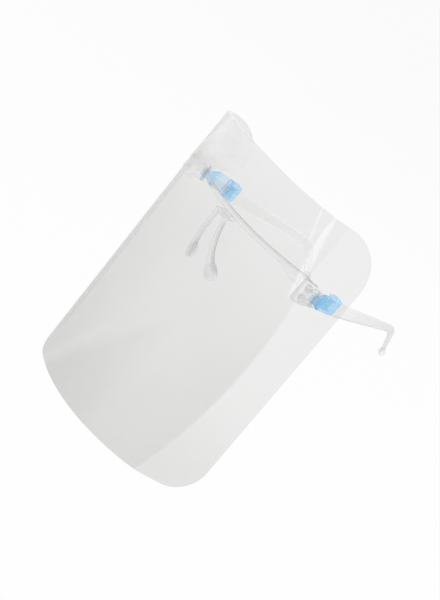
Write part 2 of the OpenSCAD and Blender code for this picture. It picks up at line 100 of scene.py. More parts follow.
# Sleeves: neck, tongue, the cover on its outer side, and the collar with the slot for the temple
NECK, NECK_START, NECK_LAP, NECK_CORNER, NECK_RIM = 4.2, 2.2, 1.5, 0.5, 0.4
TONGUE_T, TONGUE_H, TONGUE_L = 2.6, 8.2, 21.0
TONGUE_START, TONGUE_LAP, TONGUE_CORNER, TONGUE_RIM = NECK + 0.3, 1.0, 0.7, 0.6
COVER_START, COVER_LAP, COVER_CORNER, COVER_RIM = 8.0, 1.5, 1.4, 0.5
COLLAR_L, COLLAR_LOW, COLLAR_TOP, COLLAR_IN, COLLAR_OUT = 9.0, -6.85, 6.05, -5.6, 1.9
COLLAR_STEP, COLLAR_RIM, COLLAR_FLOOR_RIM = 0.6, 0.5, 0.4
SLOT_LOW, SLOT_TOP, SLOT_IN, SLOT_OUT = -5.8, 2.6, -3.9, -1.3
SLEEVE_VOXEL, SLEEVE_ROUNDS = 0.22, 3

# Temples: notched blade, shoulder, arm, ear bend, hook and ball tip
BLADE_IN, BLADE_OUT, BLADE_START, BLADE_TOP, BLADE_H = -3.6, -1.6, 6.0, 2.3, 7.8
BLADE_EDGE, BLADE_POINTS = 0.6, 160
SHOULDER, SHOULDER_HALF, HEEL_EDGE = 30.8, 0.3, 0.8
EAR_BEND, ARM_TOP, ARM_H, ARM_END_H, ARM_RIM = 113.0, 2.6, 11.0, 5.4, 0.45
HOOK_IN, HOOK_RUN, HOOK_DROP, HOOK_END_H = 3.2, 18.0, 22.7, 4.4
HOOK_BEND, HOOK_BEND_SHARE, HOOK_LAP, HOOK_POINTS = 9.0, 0.6, 1.5, 60
LEAN_SOFT, LEAN_FROM = 3.0, 25.0
CLICK_AT, CLICK_PITCH, CLICK_COUNT, CLICK_DEPTH, CLICK_HALF = 25.5, 3.0, 4, 0.5, 0.95
TIP_R, TIP_W, TIP_SINK, TIP_ANGLES, TIP_POINTS = 3.5, 2.9, 1.6, (-62, 89), 26
TIP_LINE, TIP_LINE_HALF = 0.05, 0.06


def unit(v):
    """The vectors along the last axis, each divided by its own length."""
    return v / np.linalg.norm(v, axis=-1, keepdims=True)


def smooth(x, low, high):
    """Smooth step: 0 below low, 1 above high, and 3t^2 - 2t^3 between."""
    t = np.clip((x - low) / (high - low), 0, 1)
    return t * t * (3 - 2 * t)


def curve(a, b, c, t):
    """Quadratic curve from a to c, guided by b: a(1-t)^2 + 2bt(1-t) + ct^2."""
    t = np.asarray(t, float)[:, None]
    return np.array(a) * (1 - t) ** 2 + np.array(b) * 2 * t * (1 - t) + np.array(c) * t**2


def shift(x, y, z):
    """A move, as a 4 by 4 matrix."""
    m = np.eye(4)
    m[:3, 3] = x, y, z
    return m


def turn(axis, degrees):
    """A turn about one axis, as a 4 by 4 matrix."""
    return np.array(Matrix.Rotation(math.radians(degrees), 4, axis))


# Stands a side view up: its X runs along Y, its Y along Z and its thickness along X
UPRIGHT = turn("Z", 90) @ turn("X", 90)


def on_side(side):
    """The left side as it is, the right side as its mirror image."""
    return np.diag([1.0 if side == "left" else -1.0, 1, 1, 1])


def on_hinge(side):
    """Frame of a hinge barrel: Y back, -X inward, turned by the fold."""
    return on_side(side) @ shift(*HINGE) @ turn("Z", FOLD[side])


def on_sleeve(side):
    """Frame of a sleeve: the barrel's, tilted down to the back."""
    return on_hinge(side) @ turn("X", -TILT)


def on_temple(side):
    """Frame of a temple: its sleeve's, moved back as far as it is pulled out."""
    return on_sleeve(side) @ shift(0, SLIDE[side], 0)


def from_centre(radius, angle):
    """Point in plan at a radius and an angle from straight ahead."""
    return radius * np.array([math.sin(angle), -math.cos(angle)])


BEND_CENTRE = np.array([0, FRONT_Y]) + from_centre(FRONT_R - BEND_R, FRONT_ANGLE)
BEND_END = BEND_CENTRE + from_centre(BEND_R, FLAP_ANGLE)


def on_flap(side):
    """Frame of a flap: X along it from the bend line, Y inward from the sheet's middle."""
    return on_side(side) @ shift(*BEND_END, 0) @ turn("Z", math.degrees(FLAP_ANGLE))


def flap_point(u, v):
    """Point in plan at u along the left flap and v inward from the sheet's middle."""
    return (on_flap("left") @ np.array([u, v, 0, 1]))[:2]


def bar_point(degrees, out):
    """Point in plan at an angle along the brow bar and a distance out from its centre line."""
    return np.array([0, BAR_Y]) + from_centre(BAR_R + out, math.radians(degrees))


def skin(rings, closed=False):
    """Shell through rings of points, an array of rings by points by 3. Neighbouring points of
    neighbouring rings make quads; an open run of rings is capped at both ends, and a closed one joins
    its last ring to its first."""
    n, k = rings.shape[:2]
    i, j = np.meshgrid(np.arange(n if closed else n - 1), np.arange(k), indexing="ij")
    a, b, up = i * k + j, i * k + (j + 1) % k, (i + 1) % n * k
    quads = np.stack([a, b, up + (j + 1) % k, up + j], -1).reshape(-1, 4).tolist()
    caps = [] if closed else [np.arange(k)[::-1].tolist(), ((n - 1) * k + np.arange(k)).tolist()]
    return rings.reshape(-1, 3), quads + caps


def walled(outer, inner):
    """Closed shell of two like grids of points: quads over both, and a rim between their borders."""
    n, k = outer.shape[:2]
    at = np.arange(n * k).reshape(n, k)
    quads = np.stack([at[:-1, :-1], at[1:, :-1], at[1:, 1:], at[:-1, 1:]], -1).reshape(-1, 4)
    border = np.r_[at[:, 0], at[-1, 1:], at[-2::-1, -1], at[0, -2:0:-1]]
    after = np.roll(border, -1)
    rim = np.stack([border, border + n * k, after + n * k, after], -1)
    points = np.concatenate([outer.reshape(-1, 3), inner.reshape(-1, 3)])
    return outward((points, np.concatenate([quads, quads[:, ::-1] + n * k, rim]).tolist()))


def placed(shell, place):
    """The shell moved by a 4 by 4 matrix, with its faces turned over where that mirrors it."""
    points, faces = shell
    moved = points @ place[:3, :3].T + place[:3, 3]
    return moved, [f[::-1] for f in faces] if np.linalg.det(place[:3, :3]) < 0 else faces


def outward(shell):
    """The shell with its faces out: turned over where the summed volume of its fans is below zero."""
    points, faces = shell
    fans = np.array([(f[0], f[i], f[i + 1]) for f in faces for i in range(1, len(f) - 1)])
    a, b, c = points[fans[:, 0]], points[fans[:, 1]], points[fans[:, 2]]
    return (points, [f[::-1] for f in faces]) if np.sum(a * np.cross(b, c)) < 0 else shell


def slab(outline, low, high, rim, steps=4):
    """Flat plate: a closed outline carried up from low to high and drawn in at both faces along a quarter
    round, where the inset is rim(1 - sin t) and the rise rim(1 - cos t)."""
    p = np.asarray(outline, float)
    area = np.sum(p[:, 0] * np.roll(p[:, 1], -1) - p[:, 1] * np.roll(p[:, 0], -1))
    p = p if area > 0 else p[::-1]
    way = unit(np.roll(p, -1, 0) - np.roll(p, 1, 0))
    inward = np.stack([-way[:, 1], way[:, 0]], -1)
    t = np.linspace(0, math.pi / 2, steps + 1)
    inset, rise = rim * (1 - np.sin(t)), rim * (1 - np.cos(t))
    inset, z = np.r_[inset, inset[::-1]], np.r_[low + rise, high - rise[::-1]]
    flat = p[None] + inset[:, None, None] * inward[None]
    heights = np.broadcast_to(z[:, None, None], flat.shape[:2] + (1,))
    return outward(skin(np.concatenate([flat, heights], -1)))


def rounded(points, radius, steps=6):
    """Closed outline with a quadratic curve at each corner, which starts and ends a radius from it."""
    p = np.asarray(points, float)
    a, c = (p + unit(np.roll(p, way, 0) - p) * radius for way in (1, -1))
    t = np.linspace(0, 1, steps)[None, :, None]
    corners = a[:, None] * (1 - t) ** 2 + 2 * p[:, None] * t * (1 - t) + c[:, None] * t**2
    return corners.reshape(-1, 2)


def oblong(x0, y0, x1, y1, radius):
    """Rounded oblong outline from a low corner to a high one."""
    return rounded([(x0, y0), (x1, y0), (x1, y1), (x0, y1)], radius)


def box(low, high, radius, rim):
    """Plate with a rounded oblong outline in X and Y, from a low corner to a high one."""
    return slab(oblong(*low[:2], *high[:2], radius), low[2], high[2], rim)


def turned(profile, points=48, closed=False):
    """Profile of radius and height turned about Z; a closed profile leaves a bore."""
    p = np.asarray(profile, float)
    a = np.linspace(0, 2 * math.pi, points, endpoint=False)
    heights = np.broadcast_to(p[:, 1:], (len(p), points))
    rings = np.stack([p[:, :1] * np.cos(a), p[:, :1] * np.sin(a), heights], -1)
    return outward(skin(rings, closed))


def carried(path, side, half_t, half_h, power, points=28):
    """Rounded oblong section carried along a path: a superellipse |x/t|^power + |z/h|^power = 1, square
    to the path, with x along side and z along the third direction."""
    way = unit(np.gradient(path, axis=0))
    across = unit(side - way * np.sum(side * way, -1, keepdims=True))
    up = np.cross(across, way)
    a = np.linspace(0, 2 * math.pi, points, endpoint=False)
    x, z = (np.sign(c) * np.abs(c) ** (2 / power) for c in (np.cos(a), np.sin(a)))
    half_t, half_h = (np.broadcast_to(h, len(path))[:, None, None] for h in (half_t, half_h))
    wide, deep = across[:, None] * x[None, :, None] * half_t, up[:, None] * z[None, :, None] * half_h
    return outward(skin(path[:, None] + wide + deep))


def joined(shells):
    """Several shells as one list of points and faces."""
    starts = np.cumsum([0] + [len(points) for points, _ in shells])
    faces = [[i + start for i in f] for start, (_, fs) in zip(starts, shells) for f in fs]
    return np.concatenate([points for points, _ in shells]), faces


def object_of(name, data):
    """Object at the origin that shows a mesh, a lamp or a camera."""
    made = bpy.data.objects.new(name, data)
    bpy.context.scene.collection.objects.link(made)
    return made


def shaded_smooth(mesh):
    """The mesh with all its faces shaded smooth."""
    mesh.polygons.foreach_set("use_smooth", np.ones(len(mesh.polygons), bool))
    return mesh


def piece_of(name, shell):
    """Object with its mesh in metres, from a shell in millimetres."""
    points, faces = shell
    mesh = bpy.data.meshes.new(name)
    mesh.from_pydata((points * MM).tolist(), [], faces)
    mesh.update()
    return object_of(name, shaded_smooth(mesh))


def sharpened(made, degrees=35):
    """Edges between faces that meet at more than an angle stay crisp in the shading."""
    made.data.set_sharp_from_angle(angle=math.radians(degrees))
    return made


def moulded(name, shells, voxel, rounds):
    """One moulding from overlapping shells: rebuilt on a grid as one skin, and relaxed so that the
    joints get fillets."""
    rough = piece_of(name + ".rough", joined(shells))
    grid = rough.modifiers.new("grid", "REMESH")
    grid.mode, grid.voxel_size, grid.use_smooth_shade = "VOXEL", voxel * MM, True
    relax = rough.modifiers.new("relax", "SMOOTH")
    relax.factor, relax.iterations = 0.5, rounds
    shown = rough.evaluated_get(bpy.context.evaluated_depsgraph_get())
    mesh = bpy.data.meshes.new_from_object(shown)
    bpy.data.objects.remove(rough)
    return object_of(name, shaded_smooth(mesh))


def points_of(made, place):
    """The piece's points in millimetres, in the frame of a place."""
    points = np.empty(3 * len(made.data.vertices), np.float32)
    made.data.vertices.foreach_get("co", points)
    return placed((points.reshape(-1, 3) / MM, []), np.linalg.inv(place))[0]


def toned(made, name, values):
    """The piece with one number for each point, which its material reads by name."""
    made.data.attributes.new(name, "FLOAT", "POINT").data.foreach_set("value", values.astype(np.float32))
    return made


def finished(made, body, node, material):
    """The piece gets its material, rides on its body and stands for its solid."""
    made.data.materials.clear()
    made.data.materials.append(material)
    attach(made, body)
    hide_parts(node)


# Share of the clear skin's reflection where it is seen square on, and what is added at its edge
SKIN_SHINE, SKIN_EDGE_SHINE = 0.035, 0.5


class Wire:
    """An output socket in a node tree. Sums, differences, products and powers of wires add Math nodes."""

    def __init__(self, tree, socket=None):
        self.tree, self.socket = tree, socket

    def node(self, kind, settings=None, sockets=None, out=0):
        """A new node: its settings first, then its sockets' values or links; gives one output."""
        made = self.tree.nodes.new(kind)
        for key, value in (settings or {}).items():
            setattr(made, key, value)
        for key, value in (sockets or {}).items():
            if isinstance(value, Wire):
                self.tree.links.new(value.socket, made.inputs[key])
            else:
                made.inputs[key].default_value = value
        return Wire(self.tree, made.outputs[out] if len(made.outputs) else None)

    def math(self, operation, a, b=0.0):
        """A Math node on two wires or numbers."""
        return self.node("ShaderNodeMath", {"operation": operation}, {0: a, 1: b})

    def __add__(self, other):
        return self.math("ADD", self, other)

    __radd__ = __add__

    def __sub__(self, other):
        return self.math("SUBTRACT", self, other)

    def __rsub__(self, other):
        return self.math("SUBTRACT", other, self)

    def __mul__(self, other):
        return self.math("MULTIPLY", self, other)

    __rmul__ = __mul__

    def __pow__(self, other):
        return self.math("POWER", self, other)

    def at_least(self, other):
        """This wire, or the other where that is larger."""
        return self.math("MAXIMUM", self, other)

    def at_most(self, other):
        """This wire, or the other where that is smaller."""
        return self.math("MINIMUM", self, other)

    def noise(self, scale, detail=2.0, stretch=(1, 1, 1)):
        """Noise from 0 to 1 on the piece's own coordinates, in cells to the metre along each axis."""
        place = self.node("ShaderNodeTexCoord", out="Object")
        place = self.node("ShaderNodeMapping", {}, {"Vector": place, "Scale": stretch})
        return self.node("ShaderNodeTexNoise", {}, {"Vector": place, "Scale": scale, "Detail": detail})

    def attribute(self, name):
        """The number that a piece's points hold under a name, or 0 where they hold none."""
        return self.node("ShaderNodeAttribute", {"attribute_name": name}, out="Fac")

    def upright(self, kind):
        """Z of the piece's own coordinates: its height for Object, how far it faces up for Normal."""
        return self.node("ShaderNodeSeparateXYZ", {}, {0: self.node("ShaderNodeTexCoord", out=kind)}, 2)

    def step(self, low, high):
        """Smooth step of this wire: 0 below low and 1 above high."""
        sockets = {"Value": self, "From Min": low, "From Max": high}
        return self.node("ShaderNodeMapRange", {"interpolation_type": "SMOOTHSTEP"}, sockets)

    def facing(self):
        """0 where the surface is seen square on, 1 at its edge."""
        return self.node("ShaderNodeLayerWeight", {}, {"Blend": 0.5}, "Facing")

    def blend(self, factor, a, b):
        """Colour a where the factor is 0 and b where it is 1."""
        return self.node("ShaderNodeMix", {"data_type": "RGBA"}, {0: factor, 6: a, 7: b}, 2)

    def bump(self, height, strength, distance):
        """Normal of a surface that is raised by a height, times a distance in metres."""
        sockets = {"Height": height, "Strength": strength, "Distance": distance}
        return self.node("ShaderNodeBump", {}, sockets)

    def seen(self):
        """One for rays from the camera, from reflections and through glass, zero for the rest."""
        rays = ("Is Camera Ray", "Is Glossy Ray", "Is Transmission Ray")
        camera, gloss, through = (self.node("ShaderNodeLightPath", out=ray) for ray in rays)
        return camera.at_least(gloss).at_least(through)

    def glossed(self, colour, roughness, alpha, normal, polish, painted_glow=0.0, shown=None):
        """See-through body of a colour, with a painted glow standing in for light that it scatters, under
        a
            clear skin whose reflection grows with the fifth power of facing."""
        # The body's emission is a painted glow, not a lamp.
        body = self.node("ShaderNodeBsdfPrincipled", {}, {
            "Base Color": colour, "Roughness": roughness, "Specular IOR Level": 0.0, "Alpha": alpha,
            "Normal": normal, "Emission Color": shown or colour, "Emission Strength": painted_glow})
        shine = self.node("ShaderNodeBsdfGlossy", {}, {
            "Color": WHITE, "Roughness": polish, "Normal": normal})
        share = SKIN_SHINE + SKIN_EDGE_SHINE * self.facing() ** 5
        return self.node("ShaderNodeMixShader", {}, {0: share, 1: body, 2: shine})


def material(name, recipe):
    """Material whose surface is the shader that the recipe wires up."""
    made = bpy.data.materials.new(name)
    made.use_nodes = True
    made.node_tree.nodes.clear()
    wire = Wire(made.node_tree)
    wire.node("ShaderNodeOutputMaterial", {}, {"Surface": recipe(wire)})
    return made


def clear_sheet(w):
    """Thin clear sheet: faint grey that thickens towards grazing sight, denser on the front panel and
    towards its lower edge, with long drawn ripples and a fine haze. The panel's density also carries
    painted shade and a painted highlight."""
    haze = w.noise(14.0, 3.0, (1, 1, 0.35))
    cloud = w.noise(11.0, 1.0)
    specks = w.noise(900.0)
    ripple = w.noise(26.0, 1.0, (1, 1, 0.15))
    panel, lower, flap = (w.attribute(name) for name in ("panel", "lower", "flap"))
    # The panel attribute carries painted shade and a painted highlight besides the panel's own density.
    even = 0.115 * flap + 0.145 * panel + (0.04 * flap + 0.16 * panel) * lower
    uneven = 0.04 * (haze - 0.5) + 0.1 * panel * (cloud - 0.5)
    alpha = even + 0.14 * w.facing() ** 2 + uneven
    colour = w.blend(cloud, (0.42, 0.42, 0.4, 1), (0.47, 0.47, 0.465, 1))
    normal = w.bump(ripple + 0.02 * specks, 0.025, 0.0008)
    return w.glossed(colour, 0.3 + 0.1 * specks, alpha, normal, 0.04)


def flow_and_grain(w):
    """Flow lines and fine grain of the clear mouldings, as two wires."""
    return w.noise(70.0, 2.0, (1, 1, 0.5)), w.noise(1400.0)


# LIT_RIM is the colour of a painted highlight on edges that face up.
GREY_RIM, LIT_RIM = (0.36, 0.37, 0.37, 1), (0.95, 0.96, 0.96, 1)
GREY_BODY, PALE_BODY = (0.56, 0.57, 0.57, 1), (0.7, 0.71, 0.71, 1)


def clear_moulding(w):
    """Clear moulded plastic: pale grey, greyer towards its edges, with flow lines and a glossy skin."""
    flow, grain = flow_and_grain(w)
    edge = w.facing() ** 2
    alpha = 0.06 + 0.25 * edge + 0.04 * (flow - 0.5) + 0.13 * w.attribute("dense")
    colour = w.blend(edge, w.blend(flow, GREY_BODY, PALE_BODY), GREY_RIM)
    return w.glossed(colour, 0.3 + 0.1 * grain, alpha, w.bump(flow, 0.05, 0.0004), 0.1)


def clear_edge_lit(w):
    """The same plastic with a painted highlight and a painted glow on its upward-facing edges, for light
    that runs along the moulding and leaves through them, so that they look brighter than the rest."""
    flow, grain = flow_and_grain(w)
    edge = w.facing() ** 2
    top_light = w.upright("Normal").at_least(0.0) ** 2
    alpha = 0.04 + (0.25 + 0.6 * top_light) * edge + 0.04 * (flow - 0.5)
    colour = w.blend(edge, w.blend(flow, GREY_BODY, PALE_BODY), w.blend(top_light, GREY_RIM, LIT_RIM))
    # Painted glow: white where the edges face up, black elsewhere.
    shown = w.blend(top_light, BLACK, WHITE)
    return w.glossed(colour, 0.3 + 0.1 * grain, alpha, w.bump(flow, 0.05, 0.0004), 0.1, 0.6, shown)


def clear_frame(w):
    """Clear moulded plastic of the brow frame and nose rest: as the other mouldings, with painted shade
    along the top of the bar, for light that leaves along the plastic there."""
    flow, grain = flow_and_grain(w)
    edge = w.facing() ** 3
    # Painted shade along the top of the bar: above a height, most where the surface faces up.
    top_shade_band = w.upright("Object").step(0.0086, 0.0106)
    upper = top_shade_band * (0.4 + 0.6 * w.upright("Normal").at_least(0.0) ** 2)
    # The faint attribute also holds the painted shade of the nose arms' rear rims.
    alpha = (0.04 + 0.7 * edge + 0.32 * upper + 0.03 * (flow - 0.5)) * (1 - w.attribute("faint"))
    pale = w.blend(flow, (0.62, 0.63, 0.63, 1), (0.78, 0.79, 0.79, 1))
    colour = w.blend(edge.at_least(upper), pale, (0.26, 0.27, 0.27, 1))
    normal = w.bump(flow + 0.05 * grain, 0.12, 0.0004)
    return w.glossed(colour, 0.3 + 0.1 * grain, alpha, normal, 0.06)


def pin_plastic(w):
    """Milky grey plastic of the hinge pins: satin, with fine turning marks round the axis."""
    marks = w.noise(900.0, 2.0, (0.1, 0.1, 1))
    colour = w.blend(w.noise(300.0), (0.74, 0.77, 0.8, 1), (0.85, 0.87, 0.89, 1))
    return w.node("ShaderNodeBsdfPrincipled", {}, {
        "Base Color": colour, "Roughness": 0.3 + 0.2 * marks, "Normal": w.bump(marks, 0.1, 0.0001)})


def soft_pad(w):
    """Clear soft pad: milky, satin, with a fine pebble."""
    pebble = w.noise(1500.0)
    cloud = w.noise(160.0)
    alpha = 0.02 + 0.15 * w.facing() ** 2.5 + 0.02 * (cloud - 0.5)
    colour = w.blend(cloud, (0.66, 0.67, 0.67, 1), (0.76, 0.77, 0.77, 1))
    return w.glossed(colour, 0.4 + 0.2 * pebble, alpha, w.bump(pebble, 0.2, 0.0002), 0.35)


def blue_plastic(w):
    """Translucent sky-blue plastic: pale where it is thin, deeper at the neck, the collar and the
    edges, with dark flow streaks, a faint painted glow of its own colour and a glossy, slightly uneven
    skin."""
    cloud = w.noise(160.0, 3.0, (1, 0.5, 1))
    grain = w.noise(1500.0)
    thick = w.attribute("thick")
    streak = (5.0 * w.noise(300.0, 1.0, (0.6, 1, 0.6)) - 2.9).at_least(0.0).at_most(1.0)
    deep = (w.facing() ** 2).at_least(streak * (0.25 + 0.75 * thick.at_most(1.0)))
    deep = (deep + 0.3 * (thick - 1.0).at_least(0.0)).at_most(1.0)
    sky = w.blend(cloud, (0.12, 0.72, 1.0, 1), (0.03, 0.56, 1.0, 1))
    colour = w.blend(deep, sky, (0.0, 0.25, 0.62, 1))
    alpha = 0.17 + 0.16 * thick + 0.3 * deep + 0.1 * (cloud - 0.5)
    normal = w.bump(cloud + 0.12 * streak, 0.3, 0.0005)
    # The last 0.28 is a painted glow in the plastic's own colour.
    return w.glossed(colour, 0.25 + 0.1 * grain, alpha, normal, 0.07, 0.28)


def spring_steel(w):
    """Bright spring strip, drawn along its length."""
    drawn = w.noise(900.0, 2.0, (1, 0.06, 1))
    colour = w.blend(drawn, (0.58, 0.58, 0.6, 1), (0.76, 0.76, 0.78, 1))
    return w.node("ShaderNodeBsdfPrincipled", {}, {
        "Base Color": colour, "Metallic": 1.0, "Roughness": 0.22 + 0.2 * drawn,
        "Normal": w.bump(drawn, 0.15, 0.0001)})


CLEAR_SHEET = material("clear_sheet", clear_sheet)
CLEAR_MOULDING = material("clear_moulding", clear_moulding)
CLEAR_EDGE_LIT = material("clear_edge_lit", clear_edge_lit)
CLEAR_FRAME = material("clear_frame", clear_frame)
PIN_PLASTIC = material("pin_plastic", pin_plastic)
SOFT_PAD = material("soft_pad", soft_pad)
BLUE_PLASTIC = material("blue_plastic", blue_plastic)
SPRING_STEEL = material("spring_steel", spring_steel)


def corner_drop(e, radius):
    """How far a corner of radius R draws an edge in at e from its end: R - sqrt(R^2 - (R - e)^2)."""
    return radius - np.sqrt(radius**2 - (radius - np.minimum(e, radius)) ** 2)


def sheet_half(d, z, extra):
    """Outer and inner face of half the sheet, at distances d from its middle and heights z. In plan its
    way turns by an arc of the front's radius, an arc of the bend's radius and a straight flap, plus an
    extra angle. Its place is the running sum of that way, and the faces stand half the thickness either
    side of it."""
    front = np.minimum(d, SHEET_FRONT) / FRONT_R
    bend = np.clip(d - SHEET_FRONT, 0, SHEET_BEND - SHEET_FRONT) / BEND_R
    angle = (front + bend)[:, None] + extra
    way = np.stack([np.cos(angle), np.sin(angle)], -1)
    step = (way[1:] + way[:-1]) / 2 * np.diff(d)[:, None, None]
    start = np.broadcast_to([0, FRONT_Y - FRONT_R], (1,) + step.shape[1:])
    plan = np.cumsum(np.concatenate([start, step]), 0)
    out = np.stack([np.sin(angle), -np.cos(angle)], -1)
    return [np.concatenate([plan + out * t, z[..., None]], -1) for t in (SHEET_T / 2, -SHEET_T / 2)]


# Seam where the denser front panel ends, from the bend line, with its bow on the left
SEAM_INSET, SEAM_BOW, SEAM_SOFT = 1.2, 7.8, 1.2
BOW_LEVEL, BOW_RUN, BOW_TOP, BOW_FADE = -62, 27, -10, (-14, 10)


def seam(s, level):
    """Distance from the sheet's middle to the end of its front panel: just before the bend line, and on
    the left, below the frame, along a parabola that bows out past it."""
    straight = SHEET_BEND - SEAM_INSET
    bowed = SHEET_BEND + SEAM_BOW - ((np.minimum(level, BOW_TOP) - BOW_LEVEL) / BOW_RUN) ** 2
    return np.where(s > 0, bowed + (straight - bowed) * smooth(level, *BOW_FADE), straight)


# Right flap: its tone below the frame, and the lobe of its sprung corner, past a line that slopes with s
RIGHT_TONE, SPRUNG_HEIGHTS, SPRUNG_TONE, LOBE_TONE = 0.4, (2, 16), -0.5, 1.65
LOBE_S, LOBE_LEVEL, LOBE_SLOPE, LOBE_SOFT = -80, 47, 0.3, (-1.5, 0.5)


def flap_tone(s, level):
    """Density of the flaps: 1 on the left. The right one is fainter below the frame and clear above it,
    up to the lobe of its sprung corner, which is as dense as the left one."""
    lobe = smooth(level - LOBE_SLOPE * (s - LOBE_S) - LOBE_LEVEL, *LOBE_SOFT)
    sprung = smooth(level, *SPRUNG_HEIGHTS)
    right = RIGHT_TONE * (1 - sprung) + sprung * (LOBE_TONE * lobe + SPRUNG_TONE)
    return np.where(s > 0, 1, right)


# Painted shade on the front panel: the line under which it lies, its reach and end, and the painted
# highlight along that line
SHADE_SLOPE, SHADE_DROP, SHADE_REACH, SHADE_END = 1.61, 95, (5, 24), (5, 35)
HIGHLIGHT_LIFT, HIGHLIGHT_HALF, HIGHLIGHT_END, HIGHLIGHT_TONE = 3, 8, (5, 20), 0.6


def panel_shade(s, level):
    """Painted shade on the front panel, laid into its density: it grows under a line that slopes across
    its right half, less a painted highlight along the line, which falls off as exp(-(distance / half)^2)."""
    under = SHADE_SLOPE * s - SHADE_DROP - level
    # streak is a painted highlight along the line, not a mark in the plastic.
    streak = np.exp(-((under + HIGHLIGHT_LIFT) / HIGHLIGHT_HALF) ** 2) * smooth(-s, *HIGHLIGHT_END)
    return smooth(under, *SHADE_REACH) * (1 - smooth(s, *SHADE_END)) - HIGHLIGHT_TONE * streak


SHADE_TONE, PALE_TONE, PALE_REACH, PALE_HEIGHTS = 0.15, 0.45, (30, 60), (15, 40)
LOW_TONE, LOW_REACH = 0.45, (0.6, 0.95)


def sheet_tones(s, level):
    """Tones of the sheet at s along it and a height: how much front panel, how much flap, and how far
    down. The panel is paler at its upper right and carries the painted shade and painted highlight of
    panel_shade, and the left flap is denser near its lower end."""
    lower = np.clip((SHEET_TOP - level) / (SHEET_TOP - SHEET_BOTTOM), 0, 1)
    front = 1 - smooth(np.abs(s) - seam(s, level), -SEAM_SOFT, SEAM_SOFT)
    low = LOW_TONE * smooth(s, 0, 1) * smooth(lower, *LOW_REACH)
    pale = PALE_TONE * smooth(-s, *PALE_REACH) * smooth(level, *PALE_HEIGHTS)
    # Painted shade and a painted highlight, from panel_shade, laid into the panel.
    panel = front * (1 - pale + SHADE_TONE * panel_shade(s, level))
    return {"panel": panel, "lower": lower, "flap": (1 - front) * flap_tone(s, level) * (1 + low)}


def visor_sheet():
    """Sheet on a grid of distance d from its middle and height share h, between edges with rounded
    corners. On the right half the top sinks with a power of d, the lower corner lifts by smooth steps,
    and the upper corner curls in by smooth steps of height and distance."""
    corner = TOP_CORNER_R * (1 - np.cos(np.linspace(0, math.pi / 2, CORNER_POINTS)))
    e = np.r_[corner, np.linspace(TOP_CORNER_R, SHEET_HALF, STRAIGHT_POINTS)[1:]][::-1]
    d, h = SHEET_HALF - e, np.linspace(0, 1, HEIGHT_POINTS)
    high = SHEET_TOP - corner_drop(e, TOP_CORNER_R)
    low = SHEET_BOTTOM + corner_drop(e, BOTTOM_CORNER_R)
    z = low[:, None] + (high - low)[:, None] * h
    sink = SINK * (np.minimum(d, SINK_RUN) / SINK_RUN)[:, None] ** SINK_POWER * smooth(h, *SINK_SHARES)
    lift = LIFT * smooth(d, *LIFT_REACH)[:, None] * smooth(1 - h, *LIFT_SHARES)
    flexed = z - sink + lift
    curl = CURL * smooth(flexed, *CURL_HEIGHTS) * smooth(d - SHEET_FRONT, *CURL_REACH)[:, None]
    right, left = sheet_half(d, flexed, curl), sheet_half(d, z, np.zeros_like(z))
    shell = walled(*(np.concatenate([r[:0:-1] * [-1, 1, 1], m]) for r, m in zip(right, left)))
    made = piece_of("visor_sheet", shell)
    s = np.tile(np.repeat(np.r_[-d[:0:-1], d], HEIGHT_POINTS), 2)
    for name, values in sheet_tones(s, shell[0][:, 2]).items():
        toned(made, name, values)
    return sharpened(made)


finished(visor_sheet(), "frame", "visor", CLEAR_SHEET)


def brow_bar():
    """Bar on an arc of the bar's radius; its depth and thickness swell by a smooth step towards the
    ends, with its top kept level."""
    angle = np.radians(np.linspace(-BAR_ANGLE, BAR_ANGLE, BAR_RINGS))
    swell = smooth(np.degrees(np.abs(angle)), *HAUNCH_ANGLES)
    h = BAR_H + (HAUNCH_H - BAR_H) * swell
    t = BAR_T + (HAUNCH_T - BAR_T) * swell
    zero = np.zeros_like(angle)
    out = np.stack([np.sin(angle), -np.cos(angle), zero], -1)
    points, faces = carried(BAR_R * out + np.array([0, BAR_Y, 0]), out, t / 2, h / 2, BAR_POWER)
    middle = np.stack([zero, zero, FRAME_TOP - h / 2], -1)[:, None]
    return (points.reshape(BAR_RINGS, -1, 3) + middle).reshape(-1, 3), faces


def plate_line(inset, v):
    """Two points in plan behind the left flap, an inset from the plate's ends and v from the sheet."""
    return [flap_point(PLATE_U + inset, v), flap_point(PLATE_U + PLATE_L - inset, v)]


